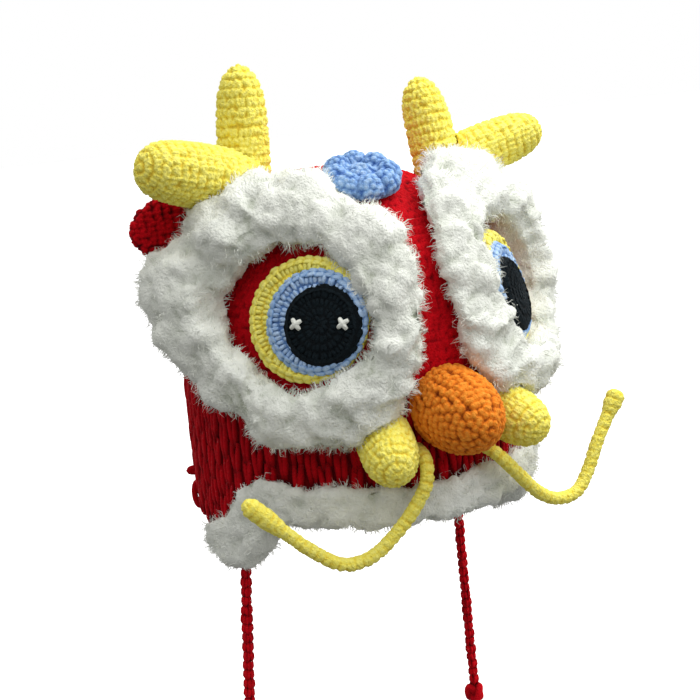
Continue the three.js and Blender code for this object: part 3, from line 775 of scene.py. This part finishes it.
def hem_spots():
    """Spots along the knitted edge, facing down and a little outward."""
    azimuth = np.linspace(-math.pi, math.pi, num=720)
    edge = cap(azimuth, reach_at(edge_height(azimuth)), -WALL / 2)
    length = lengths(edge.place)
    at = np.arange(0, length[-1], HEM.pitch)
    place, outward = (along_line(at, length, line) for line in (edge.place, edge.out))
    along = unit(np.gradient(place, axis=0))
    down = unit(np.cross(along, outward))
    down = down * -np.sign(down[:, 2:3])
    out = unit(down + HEM.outward * outward)
    return Spots(place, np.cross(along, out), along, out)


def loose_loop(loop):
    spot = cap(math.radians(loop.azimuth), reach_at(loop.height))
    turn = np.linspace(0, math.pi, num=9)[:, None]
    path = spot.place + loop.stand * np.sin(turn) * spot.out + loop.half * np.cos(turn) * spot.along
    return strand(path, loop.radius, sides=8, shade=0.5)


def make_cap():
    trees = [tree_of(*solid(node)) for node in COVERS]
    seam = reach_at(POSTS_TO)
    places, _ = solid("crown")
    upper = smooth(POSTS_TO - GROUND.seam, POSTS_TO, places[:, 2:])
    inset = GROUND.posts + (GROUND.crochet - GROUND.posts) * upper
    ground = shrunk("crown", inset, np.where(outside_cap(places), GROUND.shade, GROUND.inside))
    width, row, _ = CAP_POST.size
    lowest = reach_at(RIM_EDGE - FLAP.drop) - row / 2
    spots = cap_rows(width, row, lowest, seam, CAP_POST.stagger)
    bare = chosen(spots, ~covered(spots, trees))
    posts = sew(POST, bare, CAP_POST.size, CAP_POST.sink, CAP_POST.wobble, CAP_POST.bright)
    crochet = cap_skin(seam, CAP_REACH[-1] - CAP_SKIN.short_of_top, trees)
    hem = sew(CHAIN, hem_spots(), HEM.size, HEM.sink)
    part = joined(ground, trimmed(posts), crochet, hem, *(loose_loop(loop) for loop in LOOPS))
    add_piece("crown_knit", part, "red_yarn", "crown")


# Stuffed crochet
def ends_of(form):
    return np.array((form.root, form.tip), float)


def measured(node, root, tip, rows=40, columns=48, to=0.985):
    """Rings of places on a stuffed form, by rays from its axis."""
    tree = tree_of(*solid(node))
    axis = unit(tip - root)
    helper = SIDEWAYS if norm(axis[:2]) < STEEP else UP
    side = unit(np.cross(axis, helper))
    other = np.cross(axis, side)
    centres = root + np.linspace(0, to, rows)[:, None] * (tip - root)
    turn = full_turn(columns)[:, None]
    ways = np.cos(turn) * side + np.sin(turn) * other
    radius = np.full((rows, columns), np.nan)
    for i, centre in enumerate(centres):
        for j, way in enumerate(ways):
            hit, normal, _, distance = tree.ray_cast(Vector(centre), Vector(way))
            if hit and normal.dot(Vector(way)) > 0:
                radius[i, j] = distance
    for i in range(rows - 2, -1, -1):
        radius[i] = np.where(np.isnan(radius[i]), radius[i + 1], radius[i])
    return centres[:, None] + radius[..., None] * ways[None]


def outside_beam(places, beam):
    """Which places lie outside the beam that a tine is sewn to."""
    root, tip = ends_of(beam)
    return norm(np.cross(places - root, unit(tip - root)), axis=1) > BEAM_RADIUS - SEWN_IN


def make_stuffed():
    for name, form in STUFFED.items():
        root, tip = ends_of(form)
        cell = NOSE_CELL if name == "nose" else CROCHET_CELL
        spots = rounds(measured(name, root, tip), cell.width, cell.row, tip)
        shown = outside_cap(spots.place)
        if "tine" in name:
            shown &= outside_beam(spots.place, STUFFED[name.replace("tine", "beam")])
        part = knobbly(*remeshed(name, SKIN), chosen(spots, shown), cell)
        piece = add_piece(f"{name}_crochet", part, form.slot, name)


# Eyes: the dome of a disc, where its rim and its first flat round lie, and how they are sewn.
DISC = Sizes(dome=1.5, rim_in=1.6, rim_down=1.0, rounds_in=5.2, smallest=1.0)
# A disc's ground takes painted shade where it shows between the stitches.
SEWN = Sizes(inset=0.4, shade=0.2, sink=0.1, flat_wobble=0.07, rim_wobble=0.05)
RIM = Sizes(width=1.5, thickness=1.1)
# Stars of two crossing stitches on a pupil, by how far they stand from its middle.
STARS = {"right": (-12.0, 12.0), "left": ()}
STAR = Sizes(angles=(35, 125), up=0.5, half=3.1, lift=1.4, rise=1.0, radius=1.35, taper=0.3)


def eye_site(side):
    """Where an eye is sewn on, and its sideways, upward and outward directions."""
    turn, rise = math.radians(EYE.azimuth[side]), math.radians(EYE.elevation)
    azimuth = math.atan2(SIDES[side] * math.sin(turn), math.cos(turn) / DEPTH_RATIO)
    oval = math.hypot(math.sin(azimuth), DEPTH_RATIO * math.cos(azimuth))
    steepness = (CAP_HEIGHT - CAP_HEART) / np.maximum(CAP_WIDTH * oval, TINY)
    spot = cap(azimuth, np.interp(math.tan(rise), steepness, CAP_REACH))
    return spot.place, standing(spot.out)


def disc_rounds(disc):
    """Spots for flat rounds of stitches inside a disc's rim, in its own frame."""
    groups = []
    for k in range(disc.rings):
        ring = disc.radius - DISC.rounds_in - k * disc.cell
        if ring < DISC.smallest:
            break
        count = max(3, round(2 * math.pi * ring / disc.cell))
        way = ways_round((np.arange(count) + 0.5 * (k % 2)) / count * 2 * math.pi)
        out = np.tile(UP, (count, 1))
        height = disc.front + DISC.dome * (1 - (ring / disc.radius) ** 2)
        groups.append(Spots(ring * way + height * out, np.cross(way, out), way, out))
    return gathered(groups)


def disc_rim(disc):
    """Spots for the chain round a disc's edge, in its own frame."""
    count = round(2 * math.pi * disc.radius / disc.cell)
    way = ways_round(np.arange(count) / count * 2 * math.pi)
    along = np.cross(UP, way)
    out = unit(way + UP)
    place = (disc.radius - DISC.rim_in) * way + (disc.front - DISC.rim_down) * UP
    return Spots(place, np.cross(along, out), along, out)


def star(offset, front):
    """Two crossing stitches on the front of a disc, in its own frame."""
    share = np.linspace(-1, 1, num=7)
    rise = front + STAR.lift + STAR.rise * (1 - share**2)
    radii = STAR.radius * (1 - STAR.taper * share**2)
    middle = np.array((offset, STAR.up, 0))
    stitches = []
    for angle in STAR.angles:
        way = ways_round(math.radians(angle))
        path = middle + STAR.half * share[:, None] * way + rise[:, None] * UP
        stitches.append(strand(path, radii, sides=8, shade=0.9))
    return joined(*stitches)


def make_eyes():
    for side, sign in SIDES.items():
        site, basis = eye_site(side)
        across, upward, _ = basis

        def middle(disc):
            return site - sign * disc.inward * across - disc.down * upward

        def placed(spots, centre):
            return Spots(centre + spots.place @ basis, *(ways @ basis for ways in spots[1:]))

        for name, disc in EYE_DISCS.items():
            node = f"{name}_{side}"
            flat, rim = (placed(spots, middle(disc)) for spots in (disc_rounds(disc), disc_rim(disc)))
            flat_size = (disc.cell, disc.cell, disc.thickness)
            rim_size = (RIM.width * disc.cell, disc.cell, RIM.thickness * disc.thickness)
            sink = SEWN.sink * disc.cell
            part = joined(
                shrunk(node, SEWN.inset, SEWN.shade),
                sew(CROCHET, flat, flat_size, sink, SEWN.flat_wobble),
                sew(CHAIN, rim, rim_size, sink, SEWN.rim_wobble),
            )
            add_piece(f"{node}_crochet", part, disc.slot, node)
        if STARS[side]:
            pupil = EYE_DISCS["eye_pupil"]
            stars = joined(*(star(offset, pupil.front) for offset in STARS[side]))
            stars = stars._replace(points=middle(pupil) + stars.points @ basis)
            add_piece(f"eye_glint_{side}", stars, "white_plush")


# Whiskers
def make_whiskers():
    for side, route in WHISKER_ROUTES.items():
        path = spline(route, WHISKER.places)
        share = np.linspace(0, 1, len(path))
        grow = smooth(1 - WHISKER.tip_share, 1 - WHISKER.tip_share / 2, share)
        radii = WHISKER.radius + (WHISKER.tip_radius - WHISKER.radius) * grow
        radii = radii * np.sqrt(np.clip((1 - share) / WHISKER.rounded_share, WHISKER.least, 1))
        part = knobbly_tube(tube_grid(path, radii, WHISKER.columns), WHISKER_CELL)
        add_piece(f"whisker_{side}_crochet", part, "yellow_yarn", f"whisker_{side}")


# Rosette: radius and height of its outline, from the edge over the top to the middle.
ROSETTE_LINE = [
    (17.0, 0.3), (20.4, 3.0), (20.8, 7.0), (18.0, 11.0), (14.0, 12.8),
    (10.5, 11.8), (8.0, 9.0), (6.0, 9.6), (3.5, 11.0), (0.6, 11.2),
]
# Creases between the petals: how far they draw the outline in and down, how sharp they are, the painted
# shade in them, and the radii over which they set in.
CREASE = Sizes(radius=0.12, height=0.32, sharpness=0.35, shade=0.7, start=5.0, end=11.0)


def make_rosette():
    spot = cap(math.radians(ROSETTE.azimuth), reach_at(ROSETTE.height))
    line = spline(ROSETTE_LINE, ROSETTE.rows)
    turn = full_turn(ROSETTE.columns)
    crease = 1 - np.abs(np.cos(ROSETTE.petals / 2 * turn)) ** CREASE.sharpness
    crease = crease * smooth(CREASE.start, CREASE.end, line[:, :1])
    radius = line[:, :1] * (1 - CREASE.radius * crease)
    height = line[:, 1:] * (1 - CREASE.height * crease)
    grid = beside(radius * np.cos(turn), radius * np.sin(turn), height)
    puffs = knobbly_tube(grid, ROSETTE_CELL)
    # Painted shade in the creases between the petals.
    shade = puffs.shade * (1 - CREASE.shade * crease.ravel())
    points = spot.place + puffs.points @ standing(spot.out)
    add_piece("rosette_puffs", puffs._replace(points=points, shade=shade), "blue_yarn", "rosette")


# Plush
# Plush skin; its shade is the level of painted shade before the tufts, lumps and swells paint it lighter
# or darker.
PLUSH = Sizes(voxel=1.35, smoothing=5, easing=2, soft_light=1.1, shade=0.55, deepest=1.4)
# Tufts and lumps: area of skin that each has, how far it reaches, how high it stands, and how much painted
# light it has on its top and painted shade around it.
Lump = namedtuple("Lump", "area reach height tone")
LUMPS = [Lump(12.0, 2.5, 1.6, 0.24), Lump(150.0, 8.5, 2.0, 0.2)]
# Unevenness: size of its swells, their height, and the painted light on them and painted shade between
# them.
Swell = namedtuple("Swell", "size height tone")
SWELLS = [Swell(14.0, 2.0, 0.4), Swell(1.7, 0.3, 0.1)]
Fur = namedtuple("Fur", "fibres inset length")
FURS = {
    "eye_fur_right": Fur(13000, 2.0, 4.2),
    "eye_fur_left": Fur(13000, 2.0, 4.2),
    "rim_fur": Fur(10000, 1.4, 4.2),
}
# Where the plush is pushed over an eye, away from it or in: its way from the eye's middle, in degrees.
Push = namedtuple("Push", "way radius height reach inward sunk")
PUSHES = {
    "eye_fur_right": [
        Push(166, 36.0, 9.0, 10.0, -6.0, 3.0),
        Push(164, 50.0, 9.0, 11.0, 0.0, 7.5),
        Push(162, 62.0, 4.0, 10.0, 3.0, 4.5),
        Push(0, 36.0, 11.0, 15.0, -5.5, 1.5),
        Push(74, 71.0, -11.0, 16.0, 8.5, 2.0),
    ],
    "eye_fur_left": [
        Push(200, 34.0, 9.0, 17.0, 8.0, 0.0),
        Push(124, 34.0, 9.0, 13.0, -7.0, 0.0),
    ],
}
# Front of the plush, by how squarely it faces away from the cap, and its bare back near the cap.
FRONT = Sizes(start=0.2, end=0.7, fibres=0.5)
BARE = Sizes(within=9.0, facing=-0.4)
# Fibres: their clumps, how flat they lie and lean, and their ways up to a bend and on from it.
PILE = Sizes(clump=11, laid=0.78, at_sides=0.35, lean=0.7, pull=0.7, own_light=0.8)
START = Sizes(lean=0.5, stray=0.3)
TURN = Sizes(start=0.5, out=0.2, lean=0.7, stray=0.4, fall=0.15)
LENGTH = Sizes(clump=0.5, least=0.7, more=0.6, to_bend=0.55, to_tip=0.5)
# One fibre: radii at its root and bend, how flat it is and how deep it starts.
FIBRE = Sizes(root=0.22, bend=0.16, flat=0.35, sunk=0.6, twist=0.1, round=0.2, below=0.3)
FIBRE_ANGLES = (-90, 30, 150)
FIBRE_QUADS = np.array([(0, 1, 4, 3), (2, 0, 3, 5), (7, 8, 10, 9)])
FIBRE_TIPS = np.array([(3, 4, 6), (5, 3, 6), (9, 10, 11)])
# Painted light on the fibres: how much paler one is than the skin, and more at its root, bend and tip,
# above and then below.
PALER = 0.12
PALER_ALONG = np.repeat((0.0, 0.1, 0.25, 0.0, 0.1, 0.25), (3, 3, 1, 2, 2, 1))


def scattered(points, triangles, weight, count):
    """Places picked at random over a skin, with the numbers of their triangles."""
    picked = random.choice(len(triangles), count, p=weight / weight.sum())
    u, v = random.random((2, count))
    fold = u + v > 1
    u, v = np.where(fold, 1 - u, u)[:, None], np.where(fold, 1 - v, v)[:, None]
    a, b, c = triangle_corners(points, triangles[picked])
    return a + u * (b - a) + v * (c - a), picked


def eased(points, triangles, times):
    """Points drawn half way to the middle of their neighbours, time after time."""
    edges = np.concatenate([triangles[:, (0, 1)], triangles[:, (1, 2)], triangles[:, (2, 0)]])
    count = np.bincount(edges[:, 0], minlength=len(points))[:, None]
    for _ in range(times):
        total = np.zeros_like(points)
        np.add.at(total, edges[:, 0], points[edges[:, 1]])
        points = (points + total / np.maximum(count, 1)) / 2
    return points


def lumpy(points, triangles):
    """A skin raised into tufts and lumps, and its shade, painted lighter on their tops and darker in the
    hollows.
    """
    area = areas(points, triangles)
    lift, shade = np.zeros(len(points)), np.full(len(points), PLUSH.shade)
    for lump in LUMPS:
        tops, _ = scattered(points, triangles, area, round(area.sum() / lump.area))
        _, away = nearest(points, tops)
        share = 1 - np.minimum(away / lump.reach, PLUSH.deepest) ** 2
        lift += lump.height * share
        shade += lump.tone * share
    for swell in SWELLS:
        share = np.array([noise.noise(Vector(place) / swell.size) for place in points])
        lift += swell.height * share
        shade += swell.tone * share
    raised = points + lift[:, None] * normals(points, triangles)
    return eased(raised, triangles, PLUSH.easing), np.clip(shade, 0, 1)


def planted(points, triangles, facing, soft, cap_tree):
    """How thickly each triangle grows fibres, none where it lies on the cap, and how far it is front."""
    weight = areas(points, triangles)
    form = unit(soft[triangles].mean(axis=1))
    front = np.zeros(len(triangles))
    for k, spot in enumerate(points[triangles].mean(axis=1)):
        _, normal, _, distance = cap_tree.find_nearest(Vector(spot))
        front[k] = smooth(FRONT.start, FRONT.end, normal.dot(Vector(form[k])))
        if distance < BARE.within and normal.dot(Vector(facing[k])) < BARE.facing:
            weight[k] = 0
    return weight * (1 - (1 - FRONT.fibres) * front), front


def grown(points, triangles, skin_shade, soft, fur, cap_tree):
    """Clumped, leaning fibres over a skin, lit as its soft form."""
    facing = unit(normals(points, triangles)[triangles].mean(axis=1))
    weight, front = planted(points, triangles, facing, soft, cap_tree)
    place, picked = scattered(points, triangles, weight, fur.fibres)
    normal = facing[picked]
    lit = unit(PILE.own_light * normal + soft[triangles[picked]].mean(axis=1))
    clumps = fur.fibres // PILE.clump
    clump, _ = nearest(place, place[:clumps])
    laid = PILE.at_sides + (PILE.laid - PILE.at_sides) * front[picked]
    lean = PILE.lean * gauss((clumps, 3))[clump]
    pull = PILE.pull * (place[clump] - place)
    stray = gauss((2, fur.fibres, 3))
    start = unit((1 - laid[:, None]) * normal + START.lean * lean + START.stray * stray[0])
    turn = unit(
        TURN.start * start + TURN.out * normal + TURN.lean * lean + pull
        + TURN.stray * stray[1] - TURN.fall * UP
    )
    length = fur.length * (LENGTH.clump + random.random(clumps))[clump]
    length = (length * (LENGTH.least + LENGTH.more * random.random(fur.fibres)))[:, None]
    bend = place + LENGTH.to_bend * length * start
    tip = bend + LENGTH.to_tip * length * turn
    # Each fibre takes the painted shade of the skin at its root.
    tone = skin_shade[triangles[picked]].mean(axis=1)[:, None]
    return fibre_part(place - FIBRE.sunk * start, bend, tip, start, turn, lit, tone)


def fibre_part(root, bend, tip, start, turn, lit, tone):
    """Flat fibres of three sides, with points and a light of their own below."""
    count = len(root)
    first = unit(np.cross(start, lit) + FIBRE.twist * gauss((count, 3)))
    rings, glow, under, dim = [], [], [], []
    for centre, way, radius in ((root, start, FIBRE.root), (bend, unit(start + turn), FIBRE.bend)):
        side = unit(first - way * (first * way).sum(axis=1, keepdims=True))
        other = np.cross(way, side)
        for angle in FIBRE_ANGLES:
            rise = FIBRE.flat * math.sin(math.radians(angle))
            turned = math.cos(math.radians(angle)) * side + rise * other
            rings.append(centre + radius * turned)
            glow.append(unit(lit + FIBRE.round * turned))
            if angle > 0:
                under.append(rings[-1])
                dim.append(unit(other + FIBRE.below * turned))
    points = np.stack([*rings, tip, *under, tip], axis=1)
    glow = np.stack([*glow, unit(lit + FIBRE.round * turn), *dim, dim[-1]], axis=1)
    starts = (np.arange(count) * points.shape[1])[:, None, None]
    faces = [(f[None] + starts).reshape(-1, f.shape[1]) for f in (FIBRE_QUADS, FIBRE_TIPS)]
    # Fibres painted paler than the skin beneath them: painted light, more towards the tip by a random
    # share.
    shade = tone + PALER + PALER_ALONG * random.random((count, 1))
    return Part(points.reshape(-1, 3), faces, shade.ravel(), glow.reshape(-1, 3))


def pushed(points, push, side):
    """Points drawn towards the middle of an eye and the cap near one place of its plush."""
    site, (across, upward, outward) = eye_site(side)
    angle = math.radians(push.way)
    way = math.cos(angle) * across + math.sin(angle) * upward
    place = site + push.radius * way + push.height * outward
    near = np.exp(-(((points - place) / push.reach) ** 2).sum(axis=1))
    return points - near[:, None] * (push.inward * way + push.sunk * outward)


def make_plush():
    cap_tree = tree_of(*solid("crown"))
    for node, fur in FURS.items():
        points, triangles = remeshed(node, PLUSH)
        for push in PUSHES.get(node, []):
            points = pushed(points, push, node.split("_")[-1])
        soft = normals(points, triangles)
        points, shade = lumpy(points - fur.inset * soft, triangles)
        core = Part(points, [triangles], shade, unit(PLUSH.soft_light * soft + normals(points, triangles)))
        fibres = grown(points, triangles, shade, soft, fur, cap_tree)
        add_piece(f"{node}_plush", core, "white_plush", node)
        pile = add_piece(f"{node}_pile", fibres, "white_plush", finish="white_pile")
        pile.visible_shadow = pile.visible_diffuse = False


# Stage: a white studio, brightest overhead towards the wearer's left, and a lamp on that side.
BRIGHT_WAY = (0.3, 0.0, 0.95)
BRIGHTNESS = {"From Min": -0.3, "To Min": 0.24, "To Max": 1.62}
LAMP = Sizes(watts=3.2, size=500.0, place=(330, -120, 600), aim=(0, 0, 80))
FLOOR = Sizes(level=-240.0, reach=6000.0)
FLOOR_CORNERS = [(-1, -1), (1, -1), (1, 1), (-1, 1)]
WHITE = (1, 1, 1, 1)
FLOOR_LOOK = {
    "Base Color": (0.9, 0.9, 0.9, 1), "Roughness": 0.9, "Emission Color": WHITE, "Emission Strength": 0.4,
}


def make_floor():
    corners = np.array([(FLOOR.reach * x, FLOOR.reach * y, FLOOR.level) for x, y in FLOOR_CORNERS])
    material, _ = new_material("floor", FLOOR_LOOK)
    floor = add_object("floor", Part(corners, [np.array([(0, 1, 2, 3)])], np.ones(4)), material)
    floor.visible_diffuse = False


def make_studio():
    world = bpy.data.worlds.new("studio")
    world.use_nodes = True
    scene.world = world
    tree = world.node_tree
    light = tree.nodes["Background"]
    set_inputs(light, {"Color": WHITE})
    look = add_node(tree, "TexCoord")
    toward = add_node(tree, "VectorMath", {1: unit(BRIGHT_WAY)})
    toward.operation = "DOT_PRODUCT"
    level = add_node(tree, "MapRange", BRIGHTNESS)
    white = add_node(tree, "Background", {"Color": WHITE, "Strength": 1.0})
    ray = add_node(tree, "LightPath")
    mix = add_node(tree, "MixShader")
    connect(
        tree,
        (look, "Generated", toward, 0), (toward, "Value", level, "Value"),
        (level, "Result", light, "Strength"), (ray, "Is Camera Ray", mix, 0),
        (light, 0, mix, 1), (white, 0, mix, 2), (mix, 0, tree.nodes["World Output"], "Surface"),
    )
    scene.view_settings.view_transform = "Standard"


def make_lamp():
    lamp = bpy.data.lights.new("lamp", "AREA")
    lamp.energy, lamp.size = LAMP.watts, LAMP.size * MM
    hung = bpy.data.objects.new("lamp", lamp)
    hung.location = Vector(LAMP.place) * MM
    away = Vector(LAMP.place) - Vector(LAMP.aim)
    hung.rotation_euler = away.to_track_quat("Z", "Y").to_euler()
    scene.collection.objects.link(hung)


make_camera()
make_ties()
make_cap()
make_stuffed()
make_eyes()
make_whiskers()
make_rosette()
make_plush()
make_floor()
make_studio()
make_lamp()
